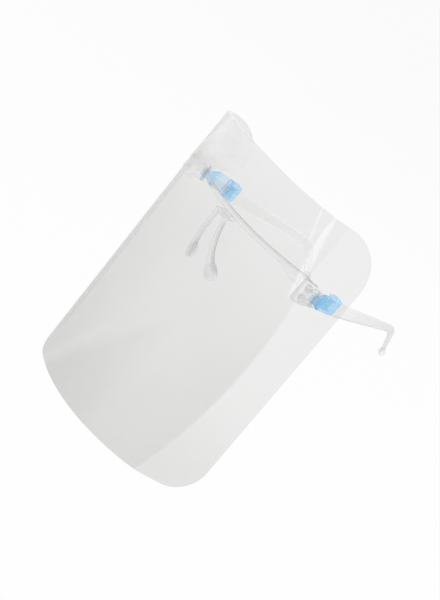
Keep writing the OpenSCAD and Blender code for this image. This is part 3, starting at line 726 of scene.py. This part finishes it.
def end_block(side):
    """Plate behind the flap, the block from it to the bar's end, the web behind it and the two ears
    about the hinge pin, each a rounded outline carried up between two heights."""
    hinge = np.array(HINGE[:2])
    to_plate = unit(flap_point(PLATE_U + PLATE_L / 2, PLATE_INNER) - hinge)
    across = np.array([-to_plate[1], to_plate[0]])
    web_end = hinge + to_plate * (BARREL_R + WEB_GAP)
    web_corners = [web_end + across * WEB_HALF, web_end - across * WEB_HALF]
    bar_corners = [bar_point(BLOCK_ANGLE, -BLOCK_HALF), bar_point(BLOCK_ANGLE, BLOCK_HALF)]
    plate = rounded(plate_line(0, PLATE_OUTER) + plate_line(0, PLATE_INNER)[::-1], PLATE_ROUND)
    block = rounded(plate_line(BLOCK_INSET, BLOCK_V) + bar_corners, BLOCK_CORNER)
    web = rounded(plate_line(WEB_INSET, WEB_V) + web_corners, WEB_CORNER)
    back = np.linspace(-math.pi / 2, math.pi / 2, HALF_ROUND)[:, None]
    round_end = hinge - to_plate * EAR_R * np.cos(back) + across * EAR_R * np.sin(back)
    root = web_end + to_plate * EAR_ROOT
    ear = np.concatenate([round_end, [root + across * EAR_R, root - across * EAR_R]])
    low, high = HINGE[2] - EAR_HIGH, HINGE[2] + EAR_HIGH
    shells = [slab(plate, PLATE_BOTTOM, FRAME_TOP - PLATE_DROP, PLATE_ROUND),
              slab(block, low + BLOCK_LIFT, FRAME_TOP - BLOCK_DROP, BLOCK_RIM),
              slab(web, low + WEB_INSET, high - WEB_INSET, WEB_RIM),
              slab(ear, low, HINGE[2] - EAR_LOW, EAR_RIM),
              slab(ear, HINGE[2] + EAR_LOW, high, EAR_RIM)]
    return [placed(s, on_side(side)) for s in shells]


# How much fainter than plain the brow frame's right half looks, and its right end on top of that
HALF_FAINT, HALF_REACH, END_FAINT, END_REACH = 0.6, (2, 26), 0.22, (45, 56)


def brow_faint(x):
    """Faintness of the brow frame at x: two smooth steps towards its right end."""
    return HALF_FAINT * smooth(-x, *HALF_REACH) + END_FAINT * smooth(-x, *END_REACH)


brow_shells = [brow_bar()] + [s for side in SIDES for s in end_block(side)]
brow = moulded("brow_moulding", brow_shells, FRAME_VOXEL, FRAME_ROUNDS)
toned(brow, "faint", brow_faint(points_of(brow, np.eye(4))[:, 0]))
finished(brow, "frame", "brow_frame", CLEAR_FRAME)


def foot_frame():
    """Frame of the left nose foot: Y along the foot, and Z outward from the nose's side."""
    x, y, z = np.array(ARM_FOOT) - np.array(ARM_GUIDE)
    yaw = math.degrees(math.atan2(x, y))
    pitch = math.degrees(math.atan2(-z, math.hypot(x, y)))
    return shift(*ARM_FOOT) @ turn("Z", -yaw) @ turn("X", -pitch) @ turn("Y", 90)


def foot_outline(grow):
    """Slot shape: two half circles joined by straight sides."""
    r, run = FOOT_W / 2 + grow, (FOOT_L - FOOT_W) / 2
    a = np.linspace(0, math.pi, HALF_ROUND)
    half = np.stack([r * np.cos(a), r * np.sin(a) + run], -1)
    return np.concatenate([half, -half])


def nose_line(t):
    """Middle line of the left nose arm, from the saddle to the foot."""
    return curve(ARM_START, ARM_GUIDE, ARM_FOOT, t)


def nose_rest(side):
    """A bowed arm, whose oblong section widens down a quadratic curve and flares by a smooth step, and
    the slot-shaped foot that it ends in."""
    t = np.linspace(0, 1, NOSE_ARM_RINGS)
    start, end = NOSE_ARM_W
    width = start + (end - start) * t + NOSE_FLARE * smooth(t, NOSE_FLARE_FROM, 1)
    across = np.broadcast_to([1.0, 0, 0], (NOSE_ARM_RINGS, 3))
    arm = carried(nose_line(t), across, NOSE_ARM_T / 2, width / 2, NOSE_ARM_POWER)
    foot = placed(slab(foot_outline(0), -NOSE_ARM_T / 2, NOSE_ARM_T / 2, FOOT_RIM), foot_frame())
    return [placed(s, on_side(side)) for s in (arm, foot)]


# Nose arms: tone of their front, painted shade along the left and right rear rims, and where the rims and
# the arms lie
ARM_FAINT, LEFT_RIM_SHADE, RIGHT_RIM_SHADE, RIM_BEHIND = 0.38, 6.5, 1.5, (0.6, 1.8)
ARM_LOW, ARM_HIGH = (-36, -30), (0, 4)


def nose_faint(p):
    """How much fainter than plain the nose rest looks: a little at the front of its arms, and far
    denser along their rear rims, a painted shade for light that leaves along the plastic there."""
    line = nose_line(np.linspace(0, 1, NOSE_ARM_RINGS))
    behind = p[:, 1] - np.interp(-p[:, 2], -line[:, 2], line[:, 1])
    # Painted shade along the rear rims, much stronger on the left arm.
    rim = np.where(p[:, 0] > 0, LEFT_RIM_SHADE, RIGHT_RIM_SHADE) * smooth(behind, *RIM_BEHIND)
    return (ARM_FAINT - rim) * smooth(p[:, 2], *ARM_LOW) * (1 - smooth(p[:, 2], *ARM_HIGH))


saddle_low, saddle_high = (-SADDLE_HALF, SADDLE_FRONT, SADDLE_LOW), (SADDLE_HALF, SADDLE_BACK, SADDLE_HIGH)
nose_shells = [box(saddle_low, saddle_high, SADDLE_CORNER, SADDLE_RIM)]
nose_shells += [s for side in SIDES for s in nose_rest(side)]
nose = moulded("nose_moulding", nose_shells, FRAME_VOXEL, NOSE_ROUNDS)
toned(nose, "faint", nose_faint(points_of(nose, np.eye(4))))
finished(nose, "frame", "nose_bridge", CLEAR_FRAME)

pad_top = -NOSE_ARM_T / 2
pad = slab(foot_outline(-PAD_INSET), pad_top - PAD_T, pad_top, PAD_ROUND, PAD_STEPS)
for side in SIDES:
    cushion = piece_of("nose_cushion_" + side, placed(pad, on_side(side) @ foot_frame()))
    finished(cushion, "frame", "nose_pad_" + side, SOFT_PAD)

# Radius and height of a button: dimpled dome of the head, its rim, the shank, the barb and the shank's end
BUTTON = [
    (CENTRE_R, -1.2), (0.5, -1.22), (0.85, -1.36), (1.3, -1.44), (1.8, -1.4), (2.25, -1.25), (2.6, -0.95),
    (2.78, -0.6), (2.78, -0.32), (2.7, -0.25), (1.55, -0.25), (1.5, -0.2), (1.5, 3.4),
    (1.95, 3.46), (2.0, 3.55), (1.9, 4.0), (1.6, 4.7), (1.35, 4.84), (CENTRE_R, 4.85)]
# How dense the rim of a button's head looks, and where it lies; the right ones are faint
HEAD_TONE, HEAD_RIM, HEAD_BELOW = {"left": 2.0, "right": -0.2}, (1.7, 2.6), -0.2
for side in SIDES:
    for level, name in ((1, "upper"), (-1, "lower")):
        middle = shift(BUTTON_U, 0, BUTTON_Z + level * BUTTON_PITCH / 2)
        axis = on_flap(side) @ middle @ turn("X", -90)
        button = sharpened(piece_of("button_%s_%s" % (side, name), placed(turned(BUTTON), axis)))
        x, y, z = points_of(button, axis).T
        toned(button, "dense", HEAD_TONE[side] * smooth(np.hypot(x, y), *HEAD_RIM) * (z < HEAD_BELOW))
        finished(button, "frame", "snap_button_%s_%s" % (side, name), CLEAR_MOULDING)

# Radius and height of half a hinge pin: domed head, its underside and the shaft
PIN_TOP = EAR_HIGH + PIN_HEAD_T
HALF_PIN = [
    (CENTRE_R, PIN_TOP), (0.8, PIN_TOP - 0.04), (1.4, PIN_TOP - 0.2), (1.8, PIN_TOP - 0.5),
    (PIN_HEAD_R, EAR_HIGH + 0.12), (PIN_HEAD_R - 0.08, EAR_HIGH), (PIN_R + 0.05, EAR_HIGH),
    (PIN_R, EAR_HIGH - 0.1)]
whole_pin = turned(HALF_PIN + [(r, -z) for r, z in HALF_PIN[::-1]])
for side in SIDES:
    pin = sharpened(piece_of("pin_" + side, placed(whole_pin, on_side(side) @ shift(*HINGE))))
    finished(pin, "frame", "hinge_pin_" + side, PIN_PLASTIC)


def hinge_barrel():
    """Barrel with its bore, a closed profile turned about the pin, and the neck behind it."""
    half, inner = BARREL_H / 2, BARREL_R - BARREL_EDGE
    rise = half - BARREL_EDGE
    profile = [(BORE_R, -half), (inner, -half), (BARREL_R, -rise),
               (BARREL_R, rise), (inner, half), (BORE_R, half)]
    neck_low, neck_high = (-TONGUE_T / 2, NECK_START, -half), (TONGUE_T / 2, NECK + NECK_LAP, half)
    return [turned(profile, closed=True), box(neck_low, neck_high, NECK_CORNER, NECK_RIM)]


def tongue_and_collar():
    """Tapered tongue and the raised cover on its outer side, both side views stood up, and the four
    walls of the collar that the temple slides in: outer, inner, roof and floor."""
    low, high = COLLAR_LOW + COLLAR_STEP, COLLAR_TOP - COLLAR_STEP
    lap, end = TONGUE_L + TONGUE_LAP, TONGUE_L + COLLAR_L
    tapered = [(TONGUE_START, -TONGUE_H / 2), (COVER_START, low), (lap, low),
               (lap, high), (COVER_START, high), (TONGUE_START, TONGUE_H / 2)]
    tongue = slab(rounded(tapered, TONGUE_CORNER), -TONGUE_T / 2, TONGUE_T / 2, TONGUE_RIM)
    cover_view = oblong(COVER_START, COLLAR_LOW, TONGUE_L + COVER_LAP, COLLAR_TOP, COVER_CORNER)
    cover = slab(cover_view, 0, COLLAR_OUT, COVER_RIM)
    walls = [(SLOT_OUT, COLLAR_OUT, COLLAR_LOW, COLLAR_TOP, COLLAR_RIM),
             (COLLAR_IN, SLOT_IN, COLLAR_LOW, COLLAR_TOP, COLLAR_RIM),
             (COLLAR_IN, COLLAR_OUT, SLOT_TOP, COLLAR_TOP, COLLAR_RIM),
             (COLLAR_IN, COLLAR_OUT, COLLAR_LOW, SLOT_LOW, COLLAR_FLOOR_RIM)]
    collar = [box((x0, TONGUE_L, z0), (x1, end, z1), COLLAR_RIM, rim) for x0, x1, z0, z1, rim in walls]
    return [placed(s, UPRIGHT) for s in (tongue, cover)] + collar


def sleeve(side):
    """Barrel and neck in the hinge's frame, tongue and collar in the sleeve's tilted one."""
    level = [placed(s, on_hinge(side)) for s in hinge_barrel()]
    return level + [placed(s, on_sleeve(side)) for s in tongue_and_collar()]


# Depth of the sleeves' tone: at the barrel, and added at the neck and in the line where the collar starts
BARREL_DEPTH = 0.7
NECK_DEPTH = {"left": 1.9, "right": 0.5}
LINE_DEPTH = {"left": 0.2, "right": 1.8}
NECK_SWELL, TONGUE_FADE, COLLAR_RISE, LINE_AT, LINE_HALF = (2.0, 5.0), (8.0, 13.0), (-0.6, 0.5), 0.3, 0.5


def thickness(y, side):
    """How much plastic lies in the line of sight at y along a sleeve: most where the neck swells, more
    at the barrel and the collar than in the tongue, with a line, exp(-(distance / half)^2), where the
    collar starts."""
    front = (BARREL_DEPTH + NECK_DEPTH[side] * smooth(y, *NECK_SWELL)) * (1 - smooth(y, *TONGUE_FADE))
    past = y - TONGUE_L
    line = LINE_DEPTH[side] * np.exp(-((past - LINE_AT) / LINE_HALF) ** 2)
    return np.maximum(smooth(past, *COLLAR_RISE) + line, front)


for side in SIDES:
    made = moulded("sleeve_" + side, sleeve(side), SLEEVE_VOXEL, SLEEVE_ROUNDS)
    toned(made, "thick", thickness(points_of(made, on_sleeve(side))[:, 1], side))
    finished(made, "sleeve_" + side, "temple_sleeve_" + side, BLUE_PLASTIC)

# The hook in the temple's frame: from the ear bend, along its lean, run and drop, to the ball tip's middle
HOOK = np.array([-HOOK_IN, HOOK_RUN, -HOOK_DROP])
HOOK_WAY = unit(HOOK)
HOOK_START = np.array([(BLADE_IN + BLADE_OUT) / 2, EAR_BEND, ARM_TOP - ARM_END_H / 2])
HOOK_END = HOOK_START + HOOK - HOOK_WAY * TIP_R
HOOK_YAW = math.degrees(math.atan2(HOOK_WAY[1], HOOK_WAY[0]))
ON_HOOK = shift(*HOOK_END) @ turn("Z", HOOK_YAW) @ turn("Y", math.degrees(math.acos(HOOK_WAY[2])))


def hook_line(t):
    """Middle line of the ear bend in side view, a quadratic curve from the arm and a straight hook, and
    half its depth, which tapers evenly along both."""
    share = (EAR_BEND - HOOK_BEND - SHOULDER) / (EAR_BEND - SHOULDER)
    depth = ARM_H + (ARM_END_H - ARM_H) * share
    corner, way = HOOK_START[1:], unit(HOOK[1:])
    after = corner + way * HOOK_BEND
    end = HOOK_END[1:] + way * HOOK_LAP
    on_bend = np.clip(t / HOOK_BEND_SHARE, 0, 1)
    on_hook = np.clip((t - HOOK_BEND_SHARE) / (1 - HOOK_BEND_SHARE), 0, 1)
    bend = curve((EAR_BEND - HOOK_BEND, ARM_TOP - depth / 2), corner, after, on_bend)
    full = depth + (ARM_END_H - depth) * on_bend + (HOOK_END_H - ARM_END_H) * on_hook
    return bend + on_hook[:, None] * (end - after), full / 2


def temple_outline():
    """Side view of a temple: the blade's top with its parabolic notches, the arm and the hook either
    side of their middle line, the heel of the arm and the blade's underside."""
    y = np.linspace(BLADE_START + BLADE_EDGE, SHOULDER - SHOULDER_HALF, BLADE_POINTS)
    clicks = CLICK_AT - CLICK_PITCH * np.arange(CLICK_COUNT)
    notch = np.maximum(0, 1 - ((y[:, None] - clicks) / CLICK_HALF) ** 2).max(1)
    blade_top = np.stack([y, BLADE_TOP - CLICK_DEPTH * notch], -1)
    line, half = hook_line(np.linspace(0, 1, HOOK_POINTS))
    way = unit(np.gradient(line, axis=0))
    above = np.stack([-way[:, 1], way[:, 0]], -1) * half[:, None]
    blade_low, arm_low = BLADE_TOP - BLADE_H, ARM_TOP - ARM_H
    under = [(SHOULDER + HEEL_EDGE, arm_low), (SHOULDER, arm_low + HEEL_EDGE),
             (SHOULDER - SHOULDER_HALF, blade_low), (BLADE_START + BLADE_EDGE, blade_low),
             (BLADE_START, blade_low + BLADE_EDGE), (BLADE_START, BLADE_TOP - BLADE_EDGE)]
    shoulder = [(SHOULDER + SHOULDER_HALF, ARM_TOP)]
    return np.concatenate([blade_top, shoulder, line + above, (line - above)[::-1], under])


def temple(side):
    """Flat arm with rounded rims, cut to its side view, whose hook leans inward along a softened ramp,
    soft * log(1 + exp((y - bend) / soft))."""
    points, faces = placed(slab(temple_outline(), BLADE_IN, BLADE_OUT, ARM_RIM), UPRIGHT)
    past = points[:, 1] - EAR_BEND
    lean = HOOK_IN / HOOK_RUN * LEAN_SOFT * np.logaddexp(0, past / LEAN_SOFT)
    points[:, 0] -= np.where(past > -LEAN_FROM, lean, 0)
    return placed((points, faces), on_temple(side))


# Radius and height of an ear tip along the hook: neck, ball with a moulding line round it, and its end
ball = np.radians(np.linspace(*TIP_ANGLES, TIP_POINTS))
TIP = np.stack([TIP_W * np.cos(ball) + TIP_LINE * (np.abs(ball) < TIP_LINE_HALF),
                TIP_R * np.sin(ball) + TIP_R - TIP_SINK], -1)
# The left temple grows denser towards its ear bend, and the right one has a painted highlight and a
# painted glow on its upper edges instead
TEMPLE_PLASTIC = {"left": CLEAR_MOULDING, "right": CLEAR_EDGE_LIT}
TEMPLE_DENSE, TIP_DENSE, ARM_SHARP = (75, 112), 0.5, 50
for side in SIDES:
    arm = sharpened(piece_of("arm_" + side, temple(side)), ARM_SHARP)
    if side == "left":
        toned(arm, "dense", smooth(points_of(arm, on_temple(side))[:, 1], *TEMPLE_DENSE))
    finished(arm, "arm_" + side, "temple_" + side, TEMPLE_PLASTIC[side])
    tip = piece_of("tip_" + side, placed(turned(TIP), on_temple(side) @ ON_HOOK))
    toned(tip, "dense", np.full(len(tip.data.vertices), TIP_DENSE))
    finished(tip, "arm_" + side, "ear_tip_" + side, CLEAR_MOULDING)
    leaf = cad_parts["click_spring_" + side]
    leaf.data.materials.clear()
    leaf.data.materials.append(SPRING_STEEL)


def floor_finish(w):
    """Pale floor that looks white to the camera and in reflections, and still takes shadow."""
    plain = w.node("ShaderNodeBsdfDiffuse", {}, {"Color": (0.86, 0.86, 0.86, 1)})
    lit = w.node("ShaderNodeEmission", {}, {"Color": WHITE, "Strength": 1.0})
    return w.node("ShaderNodeMixShader", {}, {0: 0.92 * w.seen(), 1: plain, 2: lit})


FLOOR_Z, FLOOR_HALF = -0.32, 12
corners = [(x * FLOOR_HALF, y * FLOOR_HALF, FLOOR_Z) for x, y in ((-1, -1), (1, -1), (1, 1), (-1, 1))]
floor_mesh = bpy.data.meshes.new("floor")
floor_mesh.from_pydata(corners, [], [(0, 1, 2, 3)])
floor_mesh.materials.append(material("floor", floor_finish))
object_of("floor", floor_mesh)

world = bpy.data.worlds.new("studio")
bpy.context.scene.world = world
world.use_nodes = True
world.node_tree.nodes.clear()
air = Wire(world.node_tree)
sky = air.node("ShaderNodeBackground", {}, {"Color": WHITE, "Strength": 0.55 + 0.45 * air.seen()})
air.node("ShaderNodeOutputWorld", {}, {"Surface": sky})


def area_lamp(name, place, right, back, size, power):
    """Oblong lamp at a place: its width runs along right, and it shines the way opposite to back."""
    lamp = bpy.data.lights.new(name, "AREA")
    lamp.shape = "RECTANGLE"
    lamp.size, lamp.size_y = size
    lamp.energy = power
    axes = np.eye(4)
    axes[:3] = np.column_stack([right, np.cross(back, right), back, place])
    object_of(name, lamp).matrix_world = Matrix(axes.tolist())


# Points that the large lamps and the narrow ones face
LAMP_AIM, STRIP_AIM = (0, 0.05, -0.05), (0.06, 0.0, 0.03)


def softbox(name, place, size, power):
    """Large lamp that stands level and faces the object."""
    back = unit(np.array(place) - np.array(LAMP_AIM))
    area_lamp(name, place, unit(np.cross([0, 0, 1], back)), back, size, power)


def strip(name, start, end, width, level):
    """Narrow lamp between two points, which faces the sheet's left bend and mirrors in it; level is its
    brightness, so its power is pi times level times area."""
    a, b = np.array(start), np.array(end)
    middle, length, along = (a + b) / 2, np.linalg.norm(b - a), unit(b - a)
    up = unit(np.cross(middle - np.array(STRIP_AIM), along))
    area_lamp(name, middle, along, np.cross(along, up), (length, width), math.pi * level * length * width)


softbox("key", (-0.9, -1.3, 1.2), (1.2, 1.2), 18)
softbox("fill", (1.5, -0.3, 0.9), (1.0, 1.4), 12)
softbox("rim", (0.2, 1.6, 1.0), (1.6, 0.8), 8)
strip("bend_strip", (0.566, -0.452, -0.116), (0.73, -0.105, -0.193), 0.04, 1.6)
strip("thin_strip", (0.411, -0.581, -0.113), (0.496, -0.516, -0.147), 0.008, 1.3)

# Camera: its place, the angle from straight ahead that it stands at, how far it looks down, and its roll
CAMERA_PLACE = (0.65552, -0.97884, 0.34318)
CAMERA_AZIMUTH, CAMERA_ELEVATION, CAMERA_ROLL = 32.45, 18.334, 39.398
camera = bpy.data.cameras.new("camera")
camera.lens, camera.sensor_width, camera.clip_end = 108.0, 36.0, 60.0
view = object_of("camera", camera)
aim = turn("Z", CAMERA_AZIMUTH) @ turn("X", 90 - CAMERA_ELEVATION) @ turn("Z", CAMERA_ROLL)
view.matrix_world = Matrix((shift(*CAMERA_PLACE) @ aim).tolist())
bpy.context.scene.camera = view
bpy.context.scene.view_settings.view_transform = "Standard"
